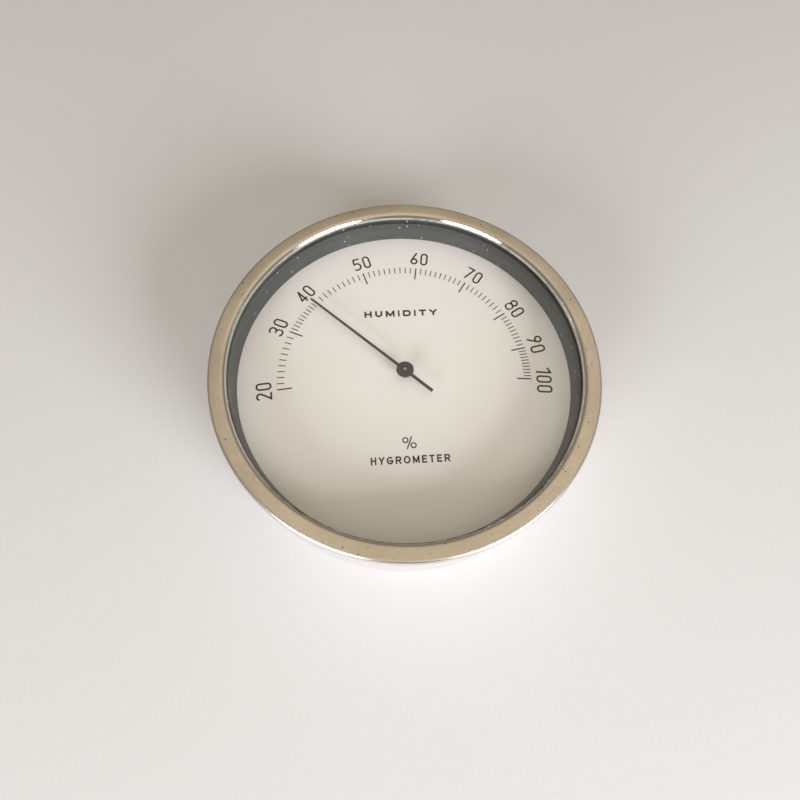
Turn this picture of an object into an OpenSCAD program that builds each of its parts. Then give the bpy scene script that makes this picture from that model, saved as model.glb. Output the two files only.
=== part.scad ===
// Dial hygrometer, lying on its back: +Z points out of the dial, +Y to its twelve o'clock.
// The origin is the centre of the rear rim's plane. All sizes are in millimetres.

/* [Case] */
// Outside diameter of the case
case_d = 130; // [124:1:150]
// Depth of the case, from its rear rim to its front face
case_h = 34; // [33:1:42]
// Thickness of the case's sheet metal
case_wall = 0.9; // [0.7:0.1:1]
// Width of the front face, from the lip's bore to the outside
face_w = 6; // [5.5:0.5:8]
// Radius that rounds the front face into the side
edge_r = 1.4; // [1.1:0.1:2]
// Radius that rolls the front face over into the lip
roll_r = 1.7; // [1.2:0.1:1.9]
// Depth of the lip, from the front face to the glass gasket
lip_h = 2.2; // [2:0.1:2.8]
// Depth of the rear cover inside the rear rim
cover_recess = 2; // [1.9:0.1:3]

/* [Glass and dial] */
// Thickness of the front glass
glass_t = 2; // [1.5:0.1:2.5]
// Height of the grey spacer between the glass and the dial
spacer_h = 7.8; // [7:0.2:9]
// Thickness of the dial plate
dial_t = 0.8; // [0.5:0.1:1]
// Height of the printing ink above the dial plate
ink_t = 0.05; // [0.03:0.01:0.1]

/* [Scale] */
// Radius of the outer ends of the scale lines
tick_r = 44.7; // [42:0.1:46]
// Length of the line at every tenth percent
tick_major = 5.1; // [4:0.1:6]
// Length of the line at every other percent
tick_minor = 2.6; // [2:0.1:3.5]
// Radius of the middle of the numerals
label_r = 49.2; // [48:0.1:52]
// Height of the numerals
label_h = 5.5; // [4.5:0.1:6]

/* [Pointer] */
// Relative humidity that the pointer shows at rest, in percent
reading = 39.2; // [20:0.1:100]
// Distance from the arbor to the pointer's tip
pointer_l = 44.9; // [40:0.1:46]
// Distance from the arbor to the end of the pointer's tail
tail_l = 12.2; // [8:0.1:16]
// Radius of the round black boss at the pointer's hub
hub_r = 3; // [2.6:0.1:4]

/* [Movement] */
// Radius of the arbor that carries the pointer
arbor_r = 0.6; // [0.5:0.05:0.8]
// Radial running clearance of the arbor in its bearings
run_gap = 0.03; // [0.02:0.01:0.06]
// Turns in the humidity coil
coil_turns = 5; // [3:1:6]
// Outer radius of the humidity coil, at the middle of its strip
coil_r = 10; // [8:0.5:11]
// Width of the humidity coil's strip, along the arbor
coil_w = 3; // [2:0.5:4]
// Length of the pillars between the movement's two plates
pillar_h = 9.2; // [9:0.1:10]

/* [Mounting] */
// Radius of the keyhole's round entry in the rear cover
keyhole_r = 4.25; // [3.5:0.25:5]
// Width of the keyhole's slot
keyhole_slot = 4.2; // [3.4:0.1:4.8]

/* [Hidden] */

$fn = 96;
eps = 0.5;                               // how far a cutting shape runs past a face

// Case and rear cover
case_r = case_d / 2;
inner_r = case_r - case_wall;
lip_r = case_r - face_w;
cover_t = 0.8;
cover_r = inner_r - 0.1;
cover_top = cover_recess + cover_t;
bead_r = case_r - 13.5;                  // stiffening bead pressed into the cover
bead_big = 1.4;
bead_small = 0.6;
access_r = 3.5;                          // hole for the driver that turns the regulator
keyhole_y = 40;
keyhole_travel = 6.5;
vent_n = 12;
vent_w = 2;
vent_in = 16;
vent_out = 30;
lug_angles = [30, 150, 270];
lug_w = 14;
lug_h = 11;
lug_t = 1.5;
lug_in = case_r - 11;                    // radius at which a lug's foot ends
lug_gap = 0.5;                           // air round a lug in the clamp ring's notch
screw_at = case_r - 7.5;                 // radius of the circle of cover screws
screw_r = 1.5;
screw_head_r = 2.75;
screw_head_h = 1.8;
screw_l = 6;
screw_gap = 0.2;                         // clearance round a screw that passes through a plate
head_bevel = 0.3;

// Heights of the stack behind the lip
gasket_t = 0.4;
gasket_r = case_r - 1.5;
gasket_in = lip_r + 0.2;
glass_top = case_h - lip_h - gasket_t;
glass_bottom = glass_top - glass_t;
glass_r = lip_r + 1.2;
seat_r = glass_r + 0.1;                  // rebate of the spacer, in which the glass lies
dial_top = glass_bottom - spacer_h;
dial_bottom = dial_top - dial_t;
dial_r = case_r - 1.5;
dial_hole_r = 1.2;
spacer_slope = 1;                        // how far the spacer's inside leans in at the dial
ring_r = case_r - 1.1;                   // outside of the spacer and the clamp ring
clamp_wall = 2.4;

// Movement, from the dial back to the regulator
plate_t = 1;
foot_gap = 1.8;                          // air between the dial and the front plate
foot_at = 20;
foot_r = 1;
foot_shoulder_r = 2;
foot_end = 0.4;                          // how far a foot's thread stands out of its nut
foot_leg_w = 7;
foot_angles = [30, 150, 270];
pillar_at = 17;
pillar_r = 2.2;
pillar_leg_w = 6;
pillar_angles = [90, 210, 330];
front_centre_r = 8;
bridge_centre_r = 7;
small_screw_r = 1;
small_head_r = 1.9;
small_head_h = 1.2;
small_bite = 3;                          // how far a small screw reaches into its pillar
small_gap = 0.1;
nut_r = 2.3;
nut_h = 1.4;
thread_gap = 0.05;
plate_front = dial_bottom - foot_gap;
plate_rear = plate_front - plate_t;
bridge_front = plate_rear - pillar_h;
bridge_rear = bridge_front - plate_t;
bearing_r = 2;
bearing_flange_r = 3;
bearing_flange_t = 0.7;
bearing_front = plate_front + 0.6;
bearing_rear = plate_rear - bearing_flange_t;

// Regulator
bush_r = 2.5;
bush_gap = 0.04;
bush_tenon_r = 1.8;
bush_head_r = 3.4;
bush_head_h = 1.5;
bush_head_top = bridge_rear - 0.7;
bush_shoulder = bridge_front + 0.2;
bush_bore_floor = bush_head_top - 0.4;
bush_slot_w = 0.9;
bush_slot_d = 0.8;
washer_t = 0.2;
washer_in = bush_r + 0.2;
washer_out = bush_r + 2;
arm_t = 0.8;
arm_w = 3.2;
arm_boss_r = 3.6;
arm_angle = 250;
arm_l = coil_r + 3;
stud_r = 0.8;
stud_at = coil_r + 0.2 + stud_r;
stud_end = 0.3;                          // how far the stud stands past the coil

// Coil, collets and pointer
coil_t = 0.3;
coil_z = bridge_front + 2.2;
collet_r = 2;
collet_end = 0.2;                        // how far the collet stands past the coil
coil_in = collet_r + coil_t / 2 + 0.02;
coil_steps = 40;                         // points on each turn
collar_r = 1.6;
collar_h = 0.8;
end_shake = 0.15;                        // play of the arbor along its axis
blade_t = 0.3;
blade_z = dial_top + 2.7;
tail_w = 1.12;
blade_root_w = 1;
blade_tip_w = 0.75;
blade_point = 0.5;
blade_boss_r = 2.6;
bush_collar_r = 1.5;
bush_collar_h = 1.4;
tenon_r = 1.1;
tenon_h = 0.3;
hub_h = 0.6;
hub_bevel = 0.2;
arbor_front = blade_z + blade_t + hub_h + 0.1;
arbor_rear = bush_bore_floor + 0.1;

// Scale: percent, clockwise angle of its line from twelve o'clock, and how much further round
// its numeral is printed
SCALE = [
  [20, -95.5, 0], [30, -65.5, 0], [40, -45.5, -0.2], [50, -17.5, 1.3], [60, 9, 1],
  [70, 34.5, 1.3], [80, 59.5, 0.5], [90, 79.5, -0.4], [100, 95.5, 0.2]
];
major_w = 0.45;
minor_w = 0.3;
digit_s = 0.62;                          // pen width of the numerals
digit_gap = 0.95;
upper_word = "HUMIDITY";
upper_y = 24.4;
upper_gap = 1.25;
upper_s = 0.66;
upper_stretch = 1.45;                    // how much wider the upper word's letters are drawn
lower_word = "HYGROMETER";
lower_y = -31.3;
lower_gap = 0.78;
word_h = 2.56;
word_s = 0.5;
percent_y = -25.5;
percent_h = 4.4;
percent_lean = 1.75;
percent_s = 0.4;
percent_ring = [1.33, 0.95];
percent_ring_r = 0.84;

INK = [0.13, 0.13, 0.14];
STEEL = [0.72, 0.70, 0.66];
BRASS = [0.80, 0.66, 0.36];
DARK = [0.16, 0.16, 0.17];
GREY = [0.36, 0.37, 0.36];

function scale_angle(p) = lookup(p, [for (row = SCALE) [row[0], row[1]]]);

// ---- shapes that several pieces share ----

// A disc or ring between two heights
module ring(r_out, z0, z1, r_in = 0) {
  translate([0, 0, z0]) difference() {
    cylinder(r = r_out, h = z1 - z0);
    if (r_in > 0) translate([0, 0, -eps]) cylinder(r = r_in, h = z1 - z0 + 2 * eps);
  }
}

// Copies its children to every angle of a circle of radius at
module around(angles, at) {
  for (a = angles) rotate(a) translate([at, 0, 0]) children();
}

// Half the section of a can: a block whose upper outer corner is round
module can_section(r, h, corner) {
  square([r - corner, h]);
  square([r, h - corner]);
  translate([r - corner, h - corner]) circle(corner);
}

// A screw that enters along +Z, with its head below z = 0 and a cross recess
module cross_screw(head_r, head_h, shank_r, length) {
  slot = [head_r * 1.2, head_r * 0.24, head_h * 0.5];
  difference() {
    rotate_extrude() polygon([
      [0, -head_h], [head_r - head_bevel, -head_h], [head_r, head_bevel - head_h], [head_r, 0],
      [shank_r, 0], [shank_r, length], [0, length]
    ]);
    for (a = [0, 90]) rotate(a)
      translate([-slot[0] / 2, -slot[1] / 2, -head_h - eps]) cube(slot + [0, 0, eps]);
  }
}

// A three-legged plate: a round centre and a leg with a round end at each angle
module spider(angles, reach, centre_r, leg_w, t) {
  cylinder(r = centre_r, h = t);
  for (a = angles) rotate(a) {
    translate([0, -leg_w / 2, 0]) cube([reach, leg_w, t]);
    translate([reach, 0, 0]) cylinder(r = leg_w / 2, h = t);
  }
}

// ---- lettering, drawn with a pen of width s ----

// A straight stroke from a to b that runs half a pen's width past each end
module stroke(a, b, s) {
  d = b - a;
  translate(a) rotate(atan2(d[1], d[0])) translate([-s / 2, -s / 2]) square([norm(d) + s, s]);
}

// A stroke around centre c from angle a0 to a1
module bow(c, r, a0, a1, s) {
  steps = ceil((a1 - a0) / 60);
  translate(c) intersection() {
    difference() {
      circle(r + s / 2);
      circle(r - s / 2);
    }
    polygon(concat([[0, 0]], [
      for (i = [0 : steps]) let (a = a0 + (a1 - a0) * i / steps) 2 * (r + s) * [cos(a), sin(a)]
    ]));
  }
}

// Width of a character, as a share of its height
function glyph_w(c) =
  c == "I" ? 0.16 : c == "1" ? 0.4 : c == "E" ? 0.65 : c == "T" ? 0.7 : c == "H" ? 0.72 :
  c == "U" ? 0.72 : c == "Y" ? 0.75 : c == "R" ? 0.75 : c == "D" ? 0.78 : c == "G" ? 0.82 :
  c == "O" ? 0.85 : c == "M" ? 0.88 : 0.51;

// One character with its lower left corner at the origin
module glyph(c, height, s, stretch) {
  wide = glyph_w(c) * height * stretch;
  intersection() {
    square([wide, height]);
    translate([s / 2, s / 2]) glyph_strokes(c, wide - s, height - s, s);
  }
}

// The strokes of one character: w and h are the reach of the pen's middle
module glyph_strokes(c, w, h, s) {
  r = w / 2;
  if (c == "0" || c == "O") {
    bow([r, h - r], r, 0, 180, s);
    bow([r, r], r, 180, 360, s);
    for (x = [0, w]) translate([x - s / 2, r]) square([s, h - 2 * r]);
  }
  if (c == "1") {
    stroke([w, 0], [w, h], s);
    stroke([w, h], [0, h * 0.8], s);
  }
  if (c == "2") {
    bow([r, h - r], r, -34, 165, s);
    stroke([r, h - r] + r * [cos(-34), sin(-34)], [0.1, 0], s);
    stroke([0, 0], [w, 0], s);
  }
  if (c == "3") {
    top = h * 0.24;
    low = h * 0.26;
    bow([r, h - top], top, -90, 155, s);
    bow([r, low], low, -155, 90, s);
    stroke([r * 0.75, 2 * low], [r, 2 * low], s);
  }
  if (c == "4") {
    stroke([w * 0.72, h], [0, h * 0.24], s);
    stroke([0, h * 0.24], [w, h * 0.24], s);
    stroke([w * 0.72, 0], [w * 0.72, h], s);
  }
  if (c == "5") {
    bowl = h * 0.3;
    at = [w - bowl, bowl];
    stroke([w * 0.1, h], [w * 0.92, h], s);
    bow(at, bowl, -145, 132, s);
    stroke([w * 0.1, h], at + bowl * [cos(132), sin(132)], s);
  }
  if (c == "6") six(w, h, s);
  if (c == "7") {
    stroke([0, h], [w, h], s);
    stroke([w, h], [w * 0.28, 0], s);
  }
  if (c == "8") {
    top = h * 0.225;
    low = h * 0.275;
    bow([r, h - top], top, 0, 360, s);
    bow([r, low], low, 0, 360, s);
  }
  if (c == "9") translate([w, h]) rotate(180) six(w, h, s);
  if (c == "H") {
    for (x = [0, w]) stroke([x, 0], [x, h], s);
    stroke([0, h * 0.52], [w, h * 0.52], s);
  }
  if (c == "U") {
    for (x = [0, w]) stroke([x, r], [x, h], s);
    bow([r, r], r, 180, 360, s);
  }
  if (c == "M") {
    for (x = [0, w]) stroke([x, 0], [x, h], s);
    for (x = [0, w]) stroke([x, h], [r, h * 0.12], s);
  }
  if (c == "I") stroke([0, 0], [0, h], s);
  if (c == "D") {
    turn = h * 0.42;
    stroke([0, 0], [0, h], s);
    for (y = [0, h]) stroke([0, y], [w - turn, y], s);
    bow([w - turn, h - turn], turn, 0, 90, s);
    bow([w - turn, turn], turn, 270, 360, s);
    stroke([w, turn], [w, h - turn], s);
  }
  if (c == "T") {
    stroke([0, h], [w, h], s);
    stroke([r, 0], [r, h], s);
  }
  if (c == "Y") {
    for (x = [0, w]) stroke([x, h], [r, h * 0.44], s);
    stroke([r, 0], [r, h * 0.44], s);
  }
  if (c == "E") {
    stroke([0, 0], [0, h], s);
    for (y = [0, h]) stroke([0, y], [w, y], s);
    stroke([0, h * 0.52], [w * 0.88, h * 0.52], s);
  }
  if (c == "R") {
    bowl = h * 0.27;
    stroke([0, 0], [0, h], s);
    for (y = [h, h - 2 * bowl]) stroke([0, y], [w - bowl, y], s);
    bow([w - bowl, h - bowl], bowl, -90, 90, s);
    stroke([w * 0.5, h - 2 * bowl], [w, 0], s);
  }
  if (c == "G") {
    bow([r, h - r], r, 35, 180, s);
    bow([r, r], r, 180, 360, s);
    stroke([0, r], [0, h - r], s);
    stroke([w, r], [w, h * 0.45], s);
    stroke([r, h * 0.45], [w, h * 0.45], s);
  }
}

// A six: a round bowl, and a straight stem that leaves it as a tangent
module six(w, h, s) {
  r = w / 2;
  top = [w * 0.76, h];
  away = top - [r, r];
  touch = atan2(away[1], away[0]) + acos(r / norm(away));
  bow([r, r], r, 0, 360, s);
  stroke([r, r] + r * [cos(touch), sin(touch)], top, s);
}

// Where character i of a word starts, for letters of height wide
function word_x(word, i, wide, gap) =
  i == 0 ? 0 : word_x(word, i - 1, wide, gap) + glyph_w(word[i - 1]) * wide + gap;

// A word centred on the origin
module word_2d(word, height, s, gap, stretch = 1) {
  n = len(word);
  wide = height * stretch;
  total = word_x(word, n, wide, gap) - gap;
  translate([-total / 2, -height / 2])
    for (i = [0 : n - 1])
      translate([word_x(word, i, wide, gap), 0]) glyph(word[i], height, s, stretch);
}

module percent_sign() {
  half = [percent_lean, percent_h] / 2;
  intersection() {
    translate([-half[0] - percent_s, -half[1]]) square([percent_lean + 2 * percent_s, percent_h]);
    stroke(-half, half, percent_s);
  }
  for (side = [-1, 1])
    translate([side * percent_ring[0], -side * percent_ring[1]])
      bow([0, 0], percent_ring_r, 0, 360, percent_s);
}

// ---- case ----

// The drawn metal can: side wall, rounded edge, flat face and the lip rolled in over the glass
module case_shell() color(STEEL) rotate_extrude() {
  difference() {
    can_section(case_r, case_h, edge_r);
    can_section(inner_r, case_h - case_wall, edge_r - case_wall);
    square([lip_r + roll_r, case_h + eps]);
  }
  translate([lip_r + roll_r, case_h - roll_r]) intersection() {
    difference() {
      circle(roll_r);
      circle(roll_r - case_wall);
    }
    translate([-roll_r, 0]) square(roll_r);
  }
  translate([lip_r, case_h - lip_h]) square([case_wall, lip_h - roll_r]);
}

module glass_gasket() color(DARK) ring(gasket_r, glass_top, glass_top + gasket_t, gasket_in);

module front_glass() color([0.75, 0.88, 0.82, 0.35]) ring(glass_r, glass_bottom, glass_top);

// The grey ring whose sloping inside shows between the glass and the dial. The glass lies in its
// rebate.
module spacer_ring() color(GREY) rotate_extrude() polygon([
  [lip_r, glass_bottom], [seat_r, glass_bottom], [seat_r, glass_top], [ring_r, glass_top],
  [ring_r, dial_top], [lip_r - spacer_slope, dial_top]
]);

// The plastic ring that the rear cover presses against the dial, notched for the cover lugs
module clamp_ring() color(DARK) difference() {
  ring(ring_r, cover_top, dial_bottom, ring_r - clamp_wall);
  for (a = lug_angles) rotate(a)
    translate([ring_r - 2 * clamp_wall, -lug_w / 2 - lug_gap, cover_top - eps])
      cube([4 * clamp_wall, lug_w + 2 * lug_gap, lug_h + lug_gap + eps]);
}

// Three bent brackets, spot-welded inside the can, that take the cover screws
module cover_lugs() color(STEEL) for (a = lug_angles) rotate(a) difference() {
  intersection() {
    ring(inner_r, cover_top, cover_top + lug_h);
    translate([lug_in, -lug_w / 2, cover_top]) cube([case_r - lug_in, lug_w, lug_h]);
  }
  intersection() {
    ring(inner_r - lug_t, cover_top + lug_t, cover_top + lug_h + eps);
    translate([lug_in - eps, -lug_w, 0]) cube([case_r - lug_in, 2 * lug_w, case_h]);
  }
  translate([screw_at, 0, cover_top - eps]) cylinder(r = screw_r + thread_gap, h = lug_t + 2 * eps);
}

// The rear cover: a pressed plate with a bead, vents, a keyhole and the regulator's access hole
module rear_cover() color(DARK) difference() {
  union() {
    ring(cover_r, cover_recess, cover_top);
    rotate_extrude() translate([bead_r, cover_top]) intersection() {
      circle(bead_big);
      translate([-bead_big, -bead_big]) square([2 * bead_big, bead_big]);
    }
  }
  rotate_extrude() translate([bead_r, cover_top]) circle(bead_small);
  ring(access_r, cover_recess - eps, cover_top + eps);
  for (i = [0 : vent_n - 1]) rotate((i + 0.5) * 360 / vent_n)
    translate([0, 0, cover_recess - eps]) {
      translate([vent_in, -vent_w / 2, 0]) cube([vent_out - vent_in, vent_w, cover_t + 2 * eps]);
      for (x = [vent_in, vent_out]) translate([x, 0, 0])
        cylinder(r = vent_w / 2, h = cover_t + 2 * eps);
    }
  around(lug_angles, screw_at)
    translate([0, 0, cover_recess - eps]) cylinder(r = screw_r + screw_gap, h = cover_t + 2 * eps);
  translate([0, keyhole_y, cover_recess - eps]) {
    cylinder(r = keyhole_r, h = cover_t + 2 * eps);
    translate([-keyhole_slot / 2, 0, 0]) cube([keyhole_slot, keyhole_travel, cover_t + 2 * eps]);
    translate([0, keyhole_travel, 0]) cylinder(r = keyhole_slot / 2, h = cover_t + 2 * eps);
  }
}

module cover_screws() color(STEEL) around(lug_angles, screw_at)
  translate([0, 0, cover_recess]) cross_screw(screw_head_r, screw_head_h, screw_r, screw_l);

// ---- dial ----

module dial_plate() color([0.92, 0.91, 0.88]) ring(dial_r, dial_bottom, dial_top, dial_hole_r);

// The scale lines, numerals and words, as a thin layer of ink
module dial_print() color(INK) translate([0, 0, dial_top]) linear_extrude(ink_t) {
  for (p = [20 : 100]) rotate(-scale_angle(p)) {
    major = p % 10 == 0;
    size = major ? [major_w, tick_major] : [minor_w, tick_minor];
    translate([-size[0] / 2, tick_r - size[1]]) square(size);
  }
  for (row = SCALE) rotate(-row[1] - row[2]) translate([0, label_r])
    word_2d(str(row[0]), label_h, digit_s, digit_gap);
  translate([0, upper_y]) word_2d(upper_word, word_h, upper_s, upper_gap, upper_stretch);
  translate([0, lower_y]) word_2d(lower_word, word_h, word_s, lower_gap);
  translate([0, percent_y]) percent_sign();
}

// Shouldered studs soldered to the back of the dial
module dial_feet() color(BRASS) around(foot_angles, foot_at) {
  ring(foot_shoulder_r, plate_front, dial_bottom);
  ring(foot_r, plate_rear - nut_h - foot_end, plate_front);
}

module foot_nuts() color(BRASS) around(foot_angles, foot_at)
  translate([0, 0, plate_rear - nut_h]) difference() {
    cylinder(r = nut_r, h = nut_h, $fn = 6);
    translate([0, 0, -eps]) cylinder(r = foot_r + thread_gap, h = nut_h + 2 * eps);
  }

// ---- movement ----

// The plate behind the dial, on whose six legs the feet and the pillars are fixed
module front_plate() color(BRASS) translate([0, 0, plate_rear]) difference() {
  union() {
    spider(foot_angles, foot_at, front_centre_r, foot_leg_w, plate_t);
    spider(pillar_angles, pillar_at, front_centre_r, pillar_leg_w, plate_t);
  }
  translate([0, 0, -eps]) {
    cylinder(r = bearing_r, h = plate_t + 2 * eps);
    around(foot_angles, foot_at) cylinder(r = foot_r + small_gap, h = plate_t + 2 * eps);
    around(pillar_angles, pillar_at)
      cylinder(r = small_screw_r + small_gap, h = plate_t + 2 * eps);
  }
}

module front_bearing() color(STEEL) difference() {
  union() {
    ring(bearing_flange_r, bearing_rear, plate_rear);
    ring(bearing_r, bearing_rear, bearing_front);
  }
  ring(arbor_r + run_gap, bearing_rear - eps, bearing_front + eps);
}

module plate_screws() color(STEEL) around(pillar_angles, pillar_at)
  translate([0, 0, plate_front]) mirror([0, 0, 1])
    cross_screw(small_head_r, small_head_h, small_screw_r, plate_t + small_bite);

module pillars() color(BRASS) around(pillar_angles, pillar_at)
  ring(pillar_r, bridge_front, plate_rear, small_screw_r + thread_gap);

module rear_bridge() color(BRASS) translate([0, 0, bridge_rear]) difference() {
  spider(pillar_angles, pillar_at, bridge_centre_r, pillar_leg_w, plate_t);
  translate([0, 0, -eps]) {
    cylinder(r = bush_r + bush_gap, h = plate_t + 2 * eps);
    around(pillar_angles, pillar_at)
      cylinder(r = small_screw_r + small_gap, h = plate_t + 2 * eps);
  }
}

module bridge_screws() color(STEEL) around(pillar_angles, pillar_at) translate([0, 0, bridge_rear])
  cross_screw(small_head_r, small_head_h, small_screw_r, plate_t + small_bite);

// The dished washer between the regulator's head and the bridge, whose friction holds the setting
module friction_washer() color(STEEL) rotate_extrude() polygon([
  [washer_in, bush_head_top + thread_gap], [washer_out, bridge_rear - washer_t],
  [washer_out, bridge_rear], [washer_in, bush_head_top + thread_gap + washer_t]
]);

// ---- regulator ----

// The slotted bush that turns in the bridge. Its blind bore is the arbor's rear bearing.
module regulator_bush() color(STEEL) difference() {
  union() {
    ring(bush_head_r, bush_head_top - bush_head_h, bush_head_top);
    ring(bush_r, bush_head_top - 0.1, bush_shoulder);
    ring(bush_tenon_r, bush_shoulder - 0.1, bush_shoulder + arm_t);
  }
  ring(arbor_r + run_gap, bush_bore_floor, bush_shoulder + arm_t + eps);
  translate([-bush_head_r - eps, -bush_slot_w / 2, bush_head_top - bush_head_h - eps])
    cube([2 * (bush_head_r + eps), bush_slot_w, bush_slot_d + eps]);
}

module regulator_arm() color(BRASS) rotate(arm_angle) translate([0, 0, bush_shoulder])
  difference() {
    union() {
      cylinder(r = arm_boss_r, h = arm_t);
      translate([0, -arm_w / 2, 0]) cube([arm_l - arm_w / 2, arm_w, arm_t]);
      translate([arm_l - arm_w / 2, 0, 0]) cylinder(r = arm_w / 2, h = arm_t);
    }
    translate([0, 0, -eps]) {
      cylinder(r = bush_tenon_r, h = arm_t + 2 * eps);
      translate([stud_at, 0, 0]) cylinder(r = stud_r, h = arm_t + 2 * eps);
    }
  }

module coil_stud() color(STEEL) rotate(arm_angle) translate([stud_at, 0, 0])
  ring(stud_r, bush_shoulder, coil_z + coil_w + stud_end);

// A flat spiral strip from the collet out to the stud. It curls tighter or looser with humidity.
module humidity_coil() color([0.75, 0.45, 0.28]) translate([0, 0, coil_z]) linear_extrude(coil_w) {
  steps = coil_turns * coil_steps;
  path = [for (i = [0 : steps])
    [coil_in + (coil_r - coil_in) * i / steps, arm_angle + 360 * i / coil_steps]];
  polygon(concat(
    [for (p = path) (p[0] - coil_t / 2) * [cos(p[1]), sin(p[1])]],
    [for (i = [steps : -1 : 0]) (path[i][0] + coil_t / 2) * [cos(path[i][1]), sin(path[i][1])]]
  ));
}

// ---- arbor and pointer ----

module coil_collet() color(BRASS)
  ring(collet_r, coil_z - collet_end, coil_z + coil_w + collet_end, arbor_r);

module arbor() color(STEEL) ring(arbor_r, arbor_rear, arbor_front);

// A collar under the front bearing that keeps the arbor from sliding forward
module arbor_collar() color(BRASS)
  ring(collar_r, bearing_rear - end_shake - collar_h, bearing_rear - end_shake, arbor_r);

module pointer_bush() color(BRASS) difference() {
  union() {
    ring(bush_collar_r, blade_z - bush_collar_h, blade_z);
    ring(tenon_r, blade_z - 0.1, blade_z + blade_t + tenon_h);
  }
  ring(arbor_r, blade_z - bush_collar_h - eps, blade_z + blade_t + tenon_h + eps);
}

// The stamped pointer: a slim blade, a short tail, and a round boss on the hub
module pointer_blade() color(INK) rotate(90 - scale_angle(reading)) translate([0, 0, blade_z])
  linear_extrude(blade_t) difference() {
    union() {
      circle(blade_boss_r);
      polygon([
        [-tail_l, -tail_w / 2], [0, -blade_root_w / 2],
        [pointer_l - blade_point, -blade_tip_w / 2], [pointer_l, 0],
        [pointer_l - blade_point, blade_tip_w / 2],
        [0, blade_root_w / 2], [-tail_l, tail_w / 2]
      ]);
    }
    circle(tenon_r);
  }

// The black boss that caps the hub and leaves the arbor's end showing
module pointer_hub() color(INK) translate([0, 0, blade_z + blade_t]) rotate_extrude() polygon([
  [tenon_r, 0], [hub_r, 0], [hub_r, hub_h - hub_bevel], [hub_r - hub_bevel, hub_h],
  [arbor_r, hub_h], [arbor_r, tenon_h], [tenon_r, tenon_h]
]);

case_shell();
glass_gasket();
front_glass();
spacer_ring();
dial_plate();
dial_print();
clamp_ring();
cover_lugs();
rear_cover();
cover_screws();
dial_feet();
foot_nuts();
front_plate();
front_bearing();
plate_screws();
pillars();
rear_bridge();
bridge_screws();
friction_washer();
regulator_bush();
regulator_arm();
coil_stud();
humidity_coil();
coil_collet();
arbor();
arbor_collar();
pointer_bush();
pointer_blade();
pointer_hub();
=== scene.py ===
"""Looks of the dial hygrometer: turned case, glass, dial, pointer and rear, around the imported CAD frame."""
import math

import bpy
from mathutils import Matrix, Vector


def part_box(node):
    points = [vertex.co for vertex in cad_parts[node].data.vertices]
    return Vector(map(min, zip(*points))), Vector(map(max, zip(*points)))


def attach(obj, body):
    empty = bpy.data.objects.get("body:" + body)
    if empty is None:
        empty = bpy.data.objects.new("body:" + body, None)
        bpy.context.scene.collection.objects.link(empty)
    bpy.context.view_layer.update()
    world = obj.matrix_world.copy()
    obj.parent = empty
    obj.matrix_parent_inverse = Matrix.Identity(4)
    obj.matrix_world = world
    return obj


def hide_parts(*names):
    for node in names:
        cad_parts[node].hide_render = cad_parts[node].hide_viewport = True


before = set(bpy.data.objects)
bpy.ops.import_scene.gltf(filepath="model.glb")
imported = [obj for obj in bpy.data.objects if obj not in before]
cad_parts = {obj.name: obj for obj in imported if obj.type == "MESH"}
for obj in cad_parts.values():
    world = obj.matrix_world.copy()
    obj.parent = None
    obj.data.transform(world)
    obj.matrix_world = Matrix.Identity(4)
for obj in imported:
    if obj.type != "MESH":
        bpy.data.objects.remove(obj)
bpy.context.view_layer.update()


# ---- sizes, from the frame ----

def top_of(node):
    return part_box(node)[1].z


def bottom_of(node):
    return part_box(node)[0].z


def radius_of(node):
    """A node's greatest distance from the case's axis, Z, along X or Y."""
    low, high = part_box(node)
    return max(-low.x, -low.y, high.x, high.y)


MM = 0.001
STEPS = 360                                   # facets round a turned piece
SMOOTH = math.radians(35)                     # steeper corners between faces stay sharp
BEVEL = 0.08 * MM                             # broken edge of the small flat pieces

CASE_R = radius_of("case_shell")
CASE_H = top_of("case_shell")
GLASS_TOP = top_of("front_glass")
GLASS_BOTTOM = bottom_of("front_glass")
DIAL_TOP = top_of("dial_plate")
LIP_BOTTOM = top_of("glass_gasket")
LIP_R = CASE_R - 6 * MM                       # bore of the lip, over the glass
SHEET = 0.9 * MM                              # the case's sheet metal
EDGE_R = 1.4 * MM                             # rounding of the face into the side
ROLL_R = 1.7 * MM                             # rounding of the face into the lip
CROWN = 0.03 * MM                             # how far the face's middle stands above its edges
RIM_CUT = 0.15 * MM                           # chamfers at the case's open rear end
SATIN_EDGE = 66                               # slope on the outer edge, in degrees, where the satin ends
SATIN_ROLL = 118                              # and on the roll into the lip

GASKET_SET = 0.2 * MM                         # how far the gasket stays back from the lip's bore
GLASS_BEVEL = 0.25 * MM                       # ground edge of the glass
SEAT_PLAY = 0.1 * MM                          # gap round the glass, in its seat in the spacer
SPACER_LEAN = 0.75 * MM                       # how much narrower the spacer is at its foot
SPACER_FOOT_H = 0.3 * MM                      # height of the undercut at its foot
SPACER_FOOT_R = 0.2 * MM                      # where the undercut ends, inside the lip's bore
SPACER_NOSE = 0.2 * MM                        # rounding of its upper edge, under the glass
DIAL_HOLE_R = 1.2 * MM                        # the dial's centre hole

POINTER_L = 44.9 * MM                         # from the arbor to the tip
TIP_W = 0.75 * MM                             # width at the tip
TIP_L = 0.5 * MM                              # length of the tip's point
ROOT_W = 1.0 * MM                             # width where the blade leaves the boss
TAIL_L = 12.2 * MM                            # from the arbor to the tail's square end
TAIL_W = 1.12 * MM                            # width of the tail
BOSS_R = 2.6 * MM                             # the blade's own round middle, under the hub
BOSS_ARC = (11, 167)                          # its free stretch on one side, in degrees from the tip
NECK = 1.02                                   # where blade and tail start, as a share of BOSS_R
HUB_EDGE = 0.28 * MM                          # rounding of the hub's edge
HUB_CUP_R = 0.5 * MM                          # reach of the recess under the hub, out from the arbor
HUB_CUP_H = 0.3 * MM                          # and its height


# ---- meshes ----

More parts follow.
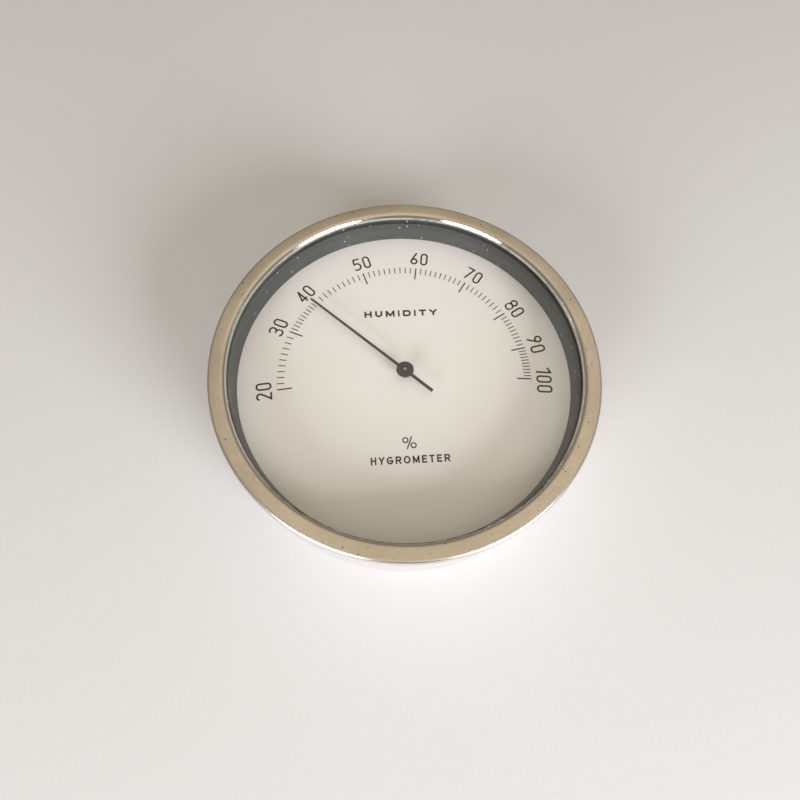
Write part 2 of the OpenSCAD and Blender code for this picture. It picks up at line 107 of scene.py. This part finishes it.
def arc(centre, radius, start, end, count):
    """Points on an arc in the (radius, height) plane, angles in degrees, both ends included."""
    turn = [math.radians(start + (end - start) * i / count) for i in range(count + 1)]
    return [(centre[0] + radius * math.cos(a), centre[1] + radius * math.sin(a)) for a in turn]


def lathe(name, strips):
    """A closed outline turned about Z. strips is a list of (material index, points), anticlockwise in the
    (radius, height) plane, and a strip's faces run on to the next strip's first point."""
    points = [p for _, run in strips for p in run]
    finishes = [index for index, run in strips for _ in run]
    verts, rings = [], []
    for r, z in points:
        count = 1 if r == 0 else STEPS
        rings.append([len(verts) + k for k in range(count)])
        turns = [2 * math.pi * k / count for k in range(count)]
        verts.extend((r * math.cos(a), r * math.sin(a), z) for a in turns)
    faces, owners = [], []
    for i, ring in enumerate(rings):
        other = rings[(i + 1) % len(rings)]
        if len(ring) == 1 and len(other) == 1:
            continue
        for k in range(STEPS):
            n = (k + 1) % STEPS
            if len(ring) == 1:
                face = (ring[0], other[n], other[k])
            elif len(other) == 1:
                face = (ring[k], ring[n], other[0])
            else:
                face = (ring[k], ring[n], other[n], other[k])
            faces.append(face)
            owners.append(finishes[i])
    mesh = bpy.data.meshes.new(name)
    mesh.from_pydata(verts, [], faces)
    mesh.polygons.foreach_set("material_index", owners)
    mesh.validate()
    return bpy.data.objects.new(name, mesh)


def flat_ring(name, outer, inner, low, high, bevel=BEVEL):
    """A washer with small bevels. inner may be 0 for a disc."""
    outline = [(outer - bevel, low), (outer, low + bevel), (outer, high - bevel), (outer - bevel, high)]
    if inner:
        outline += [(inner + bevel, high), (inner, high - bevel), (inner, low + bevel), (inner + bevel, low)]
    else:
        outline += [(0, high), (0, low)]
    return lathe(name, [(0, outline)])


# ---- node trees ----

class Nodes:
    """A node tree being built. Nodes get their settings and inputs as they are made."""

    def __init__(self, tree):
        self.tree = tree

    def node(self, kind, inputs=None, **settings):
        made = self.tree.nodes.new("ShaderNode" + kind)
        for key, value in settings.items():
            setattr(made, key, value)
        for key, value in (inputs or {}).items():
            self.feed(made.inputs[key], value)
        return made

    def feed(self, socket, value):
        """Links a socket to another node's output, or sets it to a constant."""
        if isinstance(value, bpy.types.NodeSocket):
            self.tree.links.new(value, socket)
        else:
            socket.default_value = value

    def math(self, operation, a, b=0.0):
        return self.node("Math", {0: a, 1: b}, operation=operation).outputs[0]

    def ramp(self, value, low, high, start, end):
        """Maps value from start..end to low..high, held at both ends."""
        inputs = {"Value": value, "From Min": start, "From Max": end, "To Min": low, "To Max": high}
        return self.node("MapRange", inputs).outputs["Result"]


class Shader(Nodes):
    """A new material, with one Principled surface and object coordinates to start from."""

    def __init__(self, name):
        self.material = bpy.data.materials.new(name)
        self.material.use_nodes = True
        super().__init__(self.material.node_tree)
        self.surface = self.tree.nodes["Principled BSDF"]
        self.coords = self.node("TexCoord").outputs["Object"]

    def set(self, **values):
        """Sets or links sockets of the surface, with underscores for spaces."""
        for key, value in values.items():
            self.feed(self.surface.inputs[key.replace("_", " ")], value)
        return self

    def bump(self, height, distance, strength):
        inputs = {"Height": height, "Distance": distance, "Strength": strength}
        return self.set(Normal=self.node("Bump", inputs).outputs["Normal"])

    def noise(self, scale, detail, vector=None, roughness=0.5):
        inputs = {"Vector": vector or self.coords, "Scale": scale, "Detail": detail, "Roughness": roughness}
        return self.node("TexNoise", inputs).outputs["Fac"]

    def mix(self, share, a, b):
        made = self.node("Mix", {0: share, 6: a, 7: b}, data_type="RGBA")
        return made.outputs[2]

    def xyz(self):
        return self.node("SeparateXYZ", {0: self.coords}).outputs

    def off_axis(self, x, y):
        """The distance from Z."""
        return self.math("SQRT", self.math("ADD", self.math("MULTIPLY", x, x), self.math("MULTIPLY", y, y)))

    def turned(self, around, across):
        """Coordinates for marks that run round Z: fine across a turned surface, long around it."""
        x, y, z = self.xyz()
        r = self.off_axis(x, y)
        inputs = {
            "X": self.math("MULTIPLY", self.math("DIVIDE", x, r), around),
            "Y": self.math("MULTIPLY", self.math("DIVIDE", y, r), around),
            "Z": self.math("MULTIPLY", self.math("ADD", r, z), across),
        }
        return self.node("CombineXYZ", inputs).outputs[0]

    def specks(self, scale, size, share):
        """1 in sparse round specks, 0 elsewhere: size is their radius, as a share of a cell."""
        cells = self.node("TexVoronoi", {"Vector": self.coords, "Scale": scale})
        near = self.ramp(cells.outputs["Distance"], 1.0, 0.0, size * 0.6, size)
        pick = self.node("SeparateXYZ", {0: cells.outputs["Color"]}).outputs[0]
        chosen = self.math("LESS_THAN", pick, share)
        return self.math("MULTIPLY", near, chosen)

    def dirt_and_painted_shade(self):
        """Darkening inside the lip: brown dirt low down by the glass, and painted shade at six o'clock that
        stands in for the dark reflection and shadow along the near edge.
        """
        x, y, z = self.xyz()
        patchy = self.ramp(self.noise(300.0, 4.0), 0.55, 1.0, 0.35, 0.6)
        inner = self.ramp(self.off_axis(x, y), 1.0, 0.0, LIP_R + 0.2 * MM, LIP_R + 0.55 * MM)
        # Painted shade: darker at six o'clock, for the dark reflection and shadow at the lip's near edge.
        painted_near_shade = self.math("MULTIPLY", inner, self.ramp(y, 1.0, 0.0, -0.75 * LIP_R, -0.35 * LIP_R))
        low = self.ramp(z, 0.8, 0.0, LIP_BOTTOM + 0.05 * MM, LIP_BOTTOM + 0.3 * MM)
        seam = self.math("MULTIPLY", inner, low)
        return self.math("MULTIPLY", patchy, self.math("MAXIMUM", painted_near_shade, seam))


def rgb(red, green, blue):
    return (red, green, blue, 1.0)


# ---- materials ----

# Colour of the lip's darkening: brown dirt in its seam, and painted shade at six o'clock.
DIRT_AND_SHADE_TONE = rgb(0.035, 0.024, 0.015)


def satin_metal():
    """The face: fine circular brushing under a warm, slightly stained nickel tone, with dark pits."""
    s = Shader("satin_metal")
    lines = s.noise(1.0, 2.0, s.turned(6.0, 9000.0))
    stain = s.noise(70.0, 4.0)
    grain = s.noise(850.0, 3.0, roughness=0.6)
    pits = s.specks(400.0, 0.13, 0.6)
    tone = s.mix(s.ramp(stain, 0.0, 1.0, 0.35, 0.7), rgb(0.51, 0.435, 0.365), rgb(0.62, 0.545, 0.46))
    tone = s.mix(s.ramp(lines, 0.0, 0.3, 0.3, 0.7), tone, rgb(0.70, 0.64, 0.57))
    tone = s.mix(s.ramp(grain, 0.0, 0.22, 0.45, 0.75), tone, rgb(0.80, 0.73, 0.64))
    tone = s.mix(s.ramp(grain, 0.14, 0.0, 0.25, 0.5), tone, rgb(0.40, 0.34, 0.27))
    tone = s.mix(s.math("MULTIPLY", pits, 0.85), tone, rgb(0.05, 0.04, 0.03))
    # Dirt in the lip's seam and painted shade at six o'clock darken the metal here.
    dirt_and_painted_shade = s.dirt_and_painted_shade()
    s.set(Base_Color=s.mix(dirt_and_painted_shade, tone, DIRT_AND_SHADE_TONE), Metallic=s.math("SUBTRACT", 1.0, dirt_and_painted_shade), Anisotropic=0.55)
    s.set(Roughness=s.ramp(s.math("ADD", lines, grain), 0.28, 0.38, 0.7, 1.3))
    s.set(Tangent=s.node("Tangent", direction_type="RADIAL", axis="Z").outputs[0])
    return s.bump(lines, 0.01 * MM, 0.35).material


def polished_metal():
    """The rounded edge, side and lip: bright, with faint turning lines and smudges, duller by the face."""
    s = Shader("polished_metal")
    lines = s.noise(1.0, 2.0, s.turned(3.0, 4000.0))
    smudge = s.noise(45.0, 5.0, roughness=0.6)
    tone = s.mix(smudge, rgb(0.70, 0.67, 0.62), rgb(0.78, 0.76, 0.72))
    # Dirt in the lip's seam and painted shade at six o'clock darken the metal here.
    dirt_and_painted_shade = s.dirt_and_painted_shade()
    s.set(Base_Color=s.mix(dirt_and_painted_shade, tone, DIRT_AND_SHADE_TONE), Metallic=s.math("SUBTRACT", 1.0, dirt_and_painted_shade))
    height = s.xyz()[2]
    shine = s.ramp(s.math("ADD", smudge, s.math("MULTIPLY", lines, 0.5)), 0.05, 0.16, 0.5, 1.1)
    worn = s.ramp(height, 0.0, 0.3, CASE_H - 0.7 * MM, CASE_H - 0.12 * MM)
    dull = s.math("MAXIMUM", worn, s.math("MULTIPLY", dirt_and_painted_shade, 0.6))
    s.set(Roughness=s.math("MAXIMUM", shine, dull))
    return s.bump(lines, 0.004 * MM, 0.25).material


def bare_metal():
    """The unpolished inside of the can."""
    s = Shader("bare_metal")
    lines = s.noise(1.0, 3.0, s.turned(4.0, 2500.0))
    s.set(Base_Color=s.mix(lines, rgb(0.34, 0.33, 0.31), rgb(0.46, 0.45, 0.43)), Metallic=1.0)
    return s.set(Roughness=s.ramp(lines, 0.35, 0.55, 0.3, 0.7)).bump(lines, 0.01 * MM, 0.3).material


def clear_glass():
    """Flat glass: it mirrors more as it is seen more edge-on, holds a little dust, and has the green of its
    ground
    rim painted at the upper left only: a painted reflection, where the rim catches the light."""
    s = Shader("clear_glass")
    s.tree.nodes.remove(s.surface)
    smear = s.noise(60.0, 4.0)
    clear = s.node("BsdfTransparent", {"Color": rgb(0.985, 0.992, 0.985)})
    shine = s.node("BsdfGlossy", {"Color": rgb(1, 1, 1), "Roughness": s.ramp(smear, 0.0, 0.06, 0.45, 0.8)})
    facing = s.node("LayerWeight", {"Blend": 0.5}).outputs["Facing"]
    share = s.math("ADD", s.math("MULTIPLY", s.math("POWER", facing, 5.0), 0.97), 0.03)
    pane = s.node("MixShader", {0: share, 1: clear.outputs[0], 2: shine.outputs[0]})
    dust = s.math("MAXIMUM", s.specks(420.0, 0.07, 0.06), s.specks(900.0, 0.1, 0.02))
    x, y, _ = s.xyz()
    # Painted reflection: the rim's green shown only at the upper left, where its ground edge catches the
    # light.
    upper = s.ramp(y, 0.0, 1.0, -0.3 * LIP_R, 0.0)
    glint_side = s.math("MULTIPLY", upper, s.ramp(x, 1.0, 0.0, -0.9 * LIP_R, -0.6 * LIP_R))
    rim = s.math("MULTIPLY", s.ramp(s.off_axis(x, y), 0.0, 1.0, LIP_R - 1.2 * MM, LIP_R), glint_side)
    dust_and_glint = s.node("BsdfDiffuse", {"Color": s.mix(rim, rgb(0.62, 0.60, 0.56), rgb(0.12, 0.30, 0.19))})
    cover = s.math("MAXIMUM", s.math("MULTIPLY", dust, 0.45), s.math("MULTIPLY", rim, 0.22))
    surface = s.node("MixShader", {0: cover, 1: pane.outputs[0], 2: dust_and_glint.outputs[0]})
    s.feed(s.tree.nodes["Material Output"].inputs["Surface"], surface.outputs[0])
    return s.material


def gasket_rubber():
    """Matt black rubber with a fine grain."""
    s = Shader("gasket_rubber")
    grain = s.noise(1500.0, 2.0)
    s.set(Base_Color=s.mix(grain, rgb(0.012, 0.012, 0.012), rgb(0.03, 0.03, 0.03)), Roughness=0.75)
    return s.bump(grain, 0.02 * MM, 0.4).material


def spacer_plastic():
    """Dark grey moulded plastic with a fine grain, and a little pale dust caught behind the glass."""
    s = Shader("spacer_plastic")
    grain = s.noise(2600.0, 2.0)
    shade = s.noise(35.0, 3.0)
    dust = s.math("MAXIMUM", s.specks(700.0, 0.2, 0.10), s.specks(400.0, 0.12, 0.12))
    tone = s.mix(s.ramp(shade, 0.0, 1.0, 0.35, 0.65), rgb(0.040, 0.043, 0.044), rgb(0.054, 0.057, 0.059))
    s.set(Base_Color=s.mix(dust, tone, rgb(0.74, 0.72, 0.67)))
    return s.set(Roughness=s.ramp(grain, 0.48, 0.62, 0.3, 0.7)).bump(grain, 0.012 * MM, 0.35).material


def dial_paint():
    """Off-white baked paint: a faint mottle, a satin skin and a rare speck."""
    s = Shader("dial_paint")
    mottle = s.noise(28.0, 4.0)
    grain = s.noise(3000.0, 2.0)
    specks = s.specks(260.0, 0.045, 0.04)
    tone = s.mix(s.ramp(mottle, 0.0, 1.0, 0.3, 0.7), rgb(0.82, 0.79, 0.80), rgb(0.85, 0.82, 0.835))
    s.set(Base_Color=s.mix(s.math("MULTIPLY", specks, 0.5), tone, rgb(0.35, 0.32, 0.28)))
    return s.set(Roughness=s.ramp(grain, 0.42, 0.52, 0.3, 0.7)).bump(grain, 0.006 * MM, 0.25).material


def dial_ink():
    """Screen-printed ink, a touch uneven in density."""
    s = Shader("dial_ink")
    density = s.noise(1400.0, 3.0)
    thin = s.ramp(density, 0.0, 1.0, 0.3, 0.75)
    s.set(Base_Color=s.mix(thin, rgb(0.004, 0.004, 0.005), rgb(0.016, 0.015, 0.016)))
    s.set(Specular_IOR_Level=0.15)
    return s.set(Roughness=s.ramp(density, 0.5, 0.7, 0.3, 0.7)).bump(density, 0.01 * MM, 0.3).material


def pointer_paint():
    """Matt black lacquer with a little grain, thinned on the odd spot."""
    s = Shader("pointer_paint")
    grain = s.noise(2200.0, 3.0)
    wear = s.specks(1200.0, 0.16, 0.06)
    tone = s.mix(grain, rgb(0.022, 0.022, 0.028), rgb(0.042, 0.042, 0.051))
    s.set(Base_Color=s.mix(s.math("MULTIPLY", wear, 0.25), tone, rgb(0.30, 0.28, 0.25)))
    s.set(Specular_IOR_Level=0.22)
    return s.set(Roughness=s.ramp(grain, 0.38, 0.55, 0.3, 0.7)).bump(grain, 0.008 * MM, 0.4).material


def brass(name="turned_brass", dark=rgb(0.50, 0.34, 0.14), light=rgb(0.70, 0.52, 0.24)):
    """Machined brass or copper with turning marks and a patchy tarnish."""
    s = Shader(name)
    lines = s.noise(1.0, 2.0, s.turned(5.0, 6000.0))
    tarnish = s.noise(160.0, 4.0)
    s.set(Base_Color=s.mix(s.ramp(tarnish, 0.0, 1.0, 0.35, 0.65), dark, light), Metallic=1.0)
    return s.set(Roughness=s.ramp(lines, 0.22, 0.38, 0.3, 0.7)).bump(lines, 0.01 * MM, 0.3).material


def plated_steel(name="plated_steel", dark=rgb(0.55, 0.53, 0.50), light=rgb(0.70, 0.68, 0.64)):
    """Nickel-plated steel: bright, and faintly clouded."""
    s = Shader(name)
    cloud = s.noise(260.0, 5.0)
    s.set(Base_Color=s.mix(cloud, dark, light), Metallic=1.0)
    return s.set(Roughness=s.ramp(cloud, 0.18, 0.36, 0.3, 0.7)).bump(cloud, 0.02 * MM, 0.2).material


def cover_paint():
    """Black powder coat with its orange peel, rubbed paler in places."""
    s = Shader("cover_paint")
    peel = s.noise(1100.0, 2.0)
    rub = s.noise(40.0, 5.0)
    rubbed = s.ramp(rub, 0.0, 1.0, 0.45, 0.8)
    s.set(Base_Color=s.mix(rubbed, rgb(0.018, 0.018, 0.019), rgb(0.05, 0.05, 0.052)))
    return s.set(Roughness=s.ramp(peel, 0.42, 0.6, 0.3, 0.7)).bump(peel, 0.05 * MM, 0.5).material


def black_plastic():
    """Moulded black plastic with a soft grain."""
    s = Shader("black_plastic")
    grain = s.noise(1800.0, 2.0)
    s.set(Base_Color=s.mix(grain, rgb(0.02, 0.02, 0.02), rgb(0.045, 0.045, 0.045)))
    return s.set(Roughness=s.ramp(grain, 0.45, 0.6, 0.3, 0.7)).bump(grain, 0.02 * MM, 0.4).material


def floor_paper():
    """Pale matt paper."""
    s = Shader("floor_paper")
    grain = s.noise(900.0, 3.0)
    s.set(Base_Color=s.mix(grain, rgb(0.50, 0.50, 0.50), rgb(0.54, 0.54, 0.54)), Roughness=0.85)
    return s.bump(grain, 0.03 * MM, 0.3).material


# ---- pieces that stand in for CAD nodes ----

def case_body():
    """The drawn can: crowned satin face, polished edge, side and lip, bare inside."""
    roll_at = (LIP_R + ROLL_R, CASE_H - CROWN - ROLL_R)
    edge_at = (CASE_R - EDGE_R, CASE_H - CROWN - EDGE_R)
    half = (edge_at[0] - roll_at[0]) / 2
    crown_r = (half ** 2 + CROWN ** 2) / (2 * CROWN)
    spread = math.degrees(math.asin(half / crown_r))
    side = [(CASE_R - RIM_CUT, 0.0), (CASE_R, RIM_CUT)]
    side += [(CASE_R, CASE_H * k / 8) for k in range(1, 7)]
    edge = arc(edge_at, EDGE_R, 0, SATIN_EDGE, 14)
    face = arc(edge_at, EDGE_R, SATIN_EDGE, 89, 6)[1:]
    face += arc((roll_at[0] + half, CASE_H - crown_r), crown_r, 90 - spread, 90 + spread, 12)
    face += arc(roll_at, ROLL_R, 91, SATIN_ROLL, 6)
    lip = arc(roll_at, ROLL_R, SATIN_ROLL, 180, 16)[1:]
    lip += [(LIP_R, LIP_BOTTOM), (LIP_R + SHEET, LIP_BOTTOM)]
    inner_r, ceiling = CASE_R - SHEET, CASE_H - 2 * SHEET
    inside = [(LIP_R + SHEET, ceiling), (edge_at[0], ceiling), (inner_r, ceiling - EDGE_R)]
    inside += [(inner_r, RIM_CUT), (inner_r + RIM_CUT, 0.0)]
    return lathe("case_body", [(1, side), (1, edge), (0, face), (1, lip), (2, inside)])


def gasket_seal():
    """The thin seal between the lip and the glass."""
    return flat_ring("gasket_seal", radius_of("glass_gasket"), LIP_R + GASKET_SET, GLASS_TOP, LIP_BOTTOM)


def glass_pane():
    """The round pane, with its ground edges."""
    return flat_ring("glass_pane", radius_of("front_glass"), 0, GLASS_BOTTOM, GLASS_TOP, GLASS_BEVEL)


def spacer_wall():
    """The leaning wall between the glass and the dial, with the glass's seat in its upper end."""
    outer_r = radius_of("spacer_ring")
    seat_r = radius_of("front_glass") + SEAT_PLAY
    outline = [(LIP_R - SPACER_LEAN, DIAL_TOP + SPACER_FOOT_H), (LIP_R - SPACER_FOOT_R, DIAL_TOP)]
    outline += [(outer_r, DIAL_TOP), (outer_r, GLASS_TOP), (seat_r, GLASS_TOP), (seat_r, GLASS_BOTTOM)]
    outline += arc((LIP_R + SPACER_NOSE, GLASS_BOTTOM - SPACER_NOSE), SPACER_NOSE, 90, 180, 4)
    return lathe("spacer_wall", [(0, outline)])


def dial_disc():
    """The painted plate, with its centre hole."""
    return flat_ring("dial_disc", radius_of("dial_plate"), DIAL_HOLE_R, bottom_of("dial_plate"), DIAL_TOP)


def hub_boss():
    """The pointer's hub: a round button with a rounded edge and a fine groove round the arbor."""
    outer_r, low, top = radius_of("pointer_hub"), bottom_of("pointer_hub"), top_of("pointer_hub")
    bore = radius_of("arbor")
    groove = [(0.75, 0), (0.65, 0.08), (0.5, 0)]     # out from the bore and down from the top, in mm
    mouth = [(0.18, 0), (0, 0.15)]
    outline = [(bore + HUB_CUP_R, low), (outer_r, low)]
    outline += arc((outer_r - HUB_EDGE, top - HUB_EDGE), HUB_EDGE, 0, 90, 6)
    outline += [(bore + out * MM, top - down * MM) for out, down in groove + mouth]
    outline += [(bore, low + HUB_CUP_H), (bore + HUB_CUP_R, low + HUB_CUP_H)]
    return lathe("hub_boss", [(0, outline)])


def blade_outline(spread):
    """The pointer's outline along +X, anticlockwise and spread sideways: tip, blade, boss and tail."""
    left = [(POINTER_L + spread, 0), (POINTER_L - TIP_L, TIP_W / 2 + spread)]
    left += [(BOSS_R * NECK, ROOT_W / 2 + spread)] + arc((0, 0), BOSS_R + spread, *BOSS_ARC, 24)
    left += [(-BOSS_R * NECK, TAIL_W / 2 + spread), (-TAIL_L - spread, TAIL_W / 2 + spread)]
    return left + [(x, -y) for x, y in reversed(left[1:])]


def stamped_blade():
    """The pointer's strip, with softened upper edges, turned to where the CAD pointer stands."""
    tip = max((v.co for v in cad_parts["pointer_blade"].data.vertices), key=lambda p: p.xy.length)
    turn = Matrix.Rotation(math.atan2(tip.y, tip.x), 3, "Z")
    low, top = bottom_of("pointer_blade"), top_of("pointer_blade")
    levels = [(0, low), (0, top - BEVEL), (-BEVEL, top)]
    verts = [turn @ Vector((x, y, z)) for spread, z in levels for x, y in blade_outline(spread)]
    n = len(verts) // len(levels)
    faces = [tuple(reversed(range(n))), tuple(range(2 * n, 3 * n))]
    for level in (0, n):
        faces += [(level + k, level + (k + 1) % n, level + n + (k + 1) % n, level + n + k) for k in range(n)]
    mesh = bpy.data.meshes.new("stamped_blade")
    mesh.from_pydata(verts, [], faces)
    mesh.validate()
    return bpy.data.objects.new("stamped_blade", mesh)


def add_piece(piece, body, node, materials):
    """Links a new piece, shades it, attaches it to the body it rides on, and hides the CAD node it stands
    for.
    """
    bpy.context.scene.collection.objects.link(piece)
    for material in materials:
        piece.data.materials.append(material)
    piece.data.shade_smooth()
    piece.data.set_sharp_from_angle(angle=SMOOTH)
    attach(piece, body)
    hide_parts(node)


case_metals = [satin_metal(), polished_metal(), bare_metal()]
lacquer = [pointer_paint()]
add_piece(case_body(), "case", "case_shell", case_metals)
add_piece(gasket_seal(), "case", "glass_gasket", [gasket_rubber()])
add_piece(glass_pane(), "case", "front_glass", [clear_glass()])
add_piece(spacer_wall(), "case", "spacer_ring", [spacer_plastic()])
add_piece(dial_disc(), "case", "dial_plate", [dial_paint()])
add_piece(hub_boss(), "pointer", "pointer_hub", lacquer)
add_piece(stamped_blade(), "pointer", "pointer_blade", lacquer)


# ---- carried-over CAD nodes ----

def finish_nodes(material, *nodes):
    """Gives CAD nodes their material."""
    for node in nodes:
        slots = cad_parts[node].data.materials
        slots.clear()
        slots.append(material)


finish_nodes(dial_ink(), "dial_print")
finish_nodes(black_plastic(), "clamp_ring")
finish_nodes(cover_paint(), "rear_cover")
finish_nodes(
    plated_steel(), "cover_lugs", "cover_screws", "front_bearing", "plate_screws", "bridge_screws",
    "friction_washer", "regulator_bush", "coil_stud")
finish_nodes(
    brass(), "dial_feet", "foot_nuts", "front_plate", "pillars", "rear_bridge", "regulator_arm",
    "coil_collet", "arbor_collar", "pointer_bush")
finish_nodes(brass("coil_strip", rgb(0.42, 0.20, 0.11), rgb(0.62, 0.34, 0.20)), "humidity_coil")
finish_nodes(plated_steel("dull_pivot_steel", rgb(0.26, 0.22, 0.21), rgb(0.44, 0.39, 0.38)), "arbor")


# ---- floor, lights, world and camera ----

FLOOR_HALF = 4.0                              # metres from the middle to each edge of the floor
LAMP_AWAY = 1.2                               # metres from each lamp to the dial
LAMP_SIZE = 0.64                              # the lamps' diameter, in metres
LAMP_UP = 16                                  # their elevation, in degrees
LAMP_TINT = (0.95, 0.94, 1.0)
SKY_TINT = rgb(1.0, 0.90, 0.70)
SKY_LEAN = 0.17                               # how much the sky's bright part leans to the right
SKY_LEAST = 0.26                              # strength at and below the horizon


def make_floor():
    """A plain pale floor, level with the case's rear rim."""
    mesh = bpy.data.meshes.new("floor")
    corners = [(x * FLOOR_HALF, y * FLOOR_HALF, 0) for x, y in ((-1, -1), (1, -1), (1, 1), (-1, 1))]
    mesh.from_pydata(corners, [], [(0, 1, 2, 3)])
    mesh.materials.append(floor_paper())
    floor = bpy.data.objects.new("floor", mesh)
    bpy.context.scene.collection.objects.link(floor)


def soft_light(name, azimuth, power):
    """A round area light that faces the dial. Azimuth is in degrees, from the near side to the right."""
    a, e = math.radians(azimuth), math.radians(LAMP_UP)
    away = Vector((math.sin(a) * math.cos(e), -math.cos(a) * math.cos(e), math.sin(e)))
    lamp = bpy.data.lights.new(name, "AREA")
    lamp.shape = "DISK"
    lamp.size = LAMP_SIZE
    lamp.energy = power
    lamp.color = LAMP_TINT
    light = bpy.data.objects.new(name, lamp)
    light.location = Vector((0, 0, DIAL_TOP)) + away * LAMP_AWAY
    light.rotation_mode = "QUATERNION"
    light.rotation_quaternion = away.to_track_quat("Z", "Y")
    bpy.context.scene.collection.objects.link(light)


def make_world():
    """A warm studio: bright overhead, a little brighter to the right, and dimmer towards the horizon."""
    world = bpy.data.worlds.new("studio")
    world.use_nodes = True
    sky = Nodes(world.node_tree)
    backdrop = sky.tree.nodes["Background"]
    way = sky.node("TexCoord").outputs["Generated"]
    x, _, z = sky.node("SeparateXYZ", {0: way}).outputs
    height = sky.math("ADD", z, sky.math("MULTIPLY", x, SKY_LEAN))
    glow = sky.ramp(height, 0.04, 0.94, 0.36, 1.0)
    sky.feed(backdrop.inputs["Color"], SKY_TINT)
    sky.feed(backdrop.inputs["Strength"], sky.math("MAXIMUM", glow, SKY_LEAST))
    bpy.context.scene.world = world


def make_camera():
    """The photograph's view: close over the near edge, tilted about 22 degrees off the dial's axis."""
    tilt, swing, roll = (math.radians(angle) for angle in (21.8, -6.56, 3.51))
    face_middle = Vector((0, 0, CASE_H))
    place = face_middle + Vector((-0.148, -1.137, 2.282)) * CASE_R
    turn = Matrix.Rotation(swing, 4, "Z") @ Matrix.Rotation(tilt, 4, "X") @ Matrix.Rotation(roll, 4, "Z")
    camera = bpy.data.cameras.new("camera")
    camera.sensor_width = 36.0
    camera.lens = 22.6
    camera.clip_start = 0.005
    view = bpy.data.objects.new("camera", camera)
    view.matrix_world = Matrix.Translation(place) @ turn
    bpy.context.scene.collection.objects.link(view)
    bpy.context.scene.camera = view


make_floor()
soft_light("window_right", 38, 26.5)
soft_light("window_left", -36, 17)
make_world()
make_camera()
bpy.context.scene.view_settings.view_transform = "Standard"
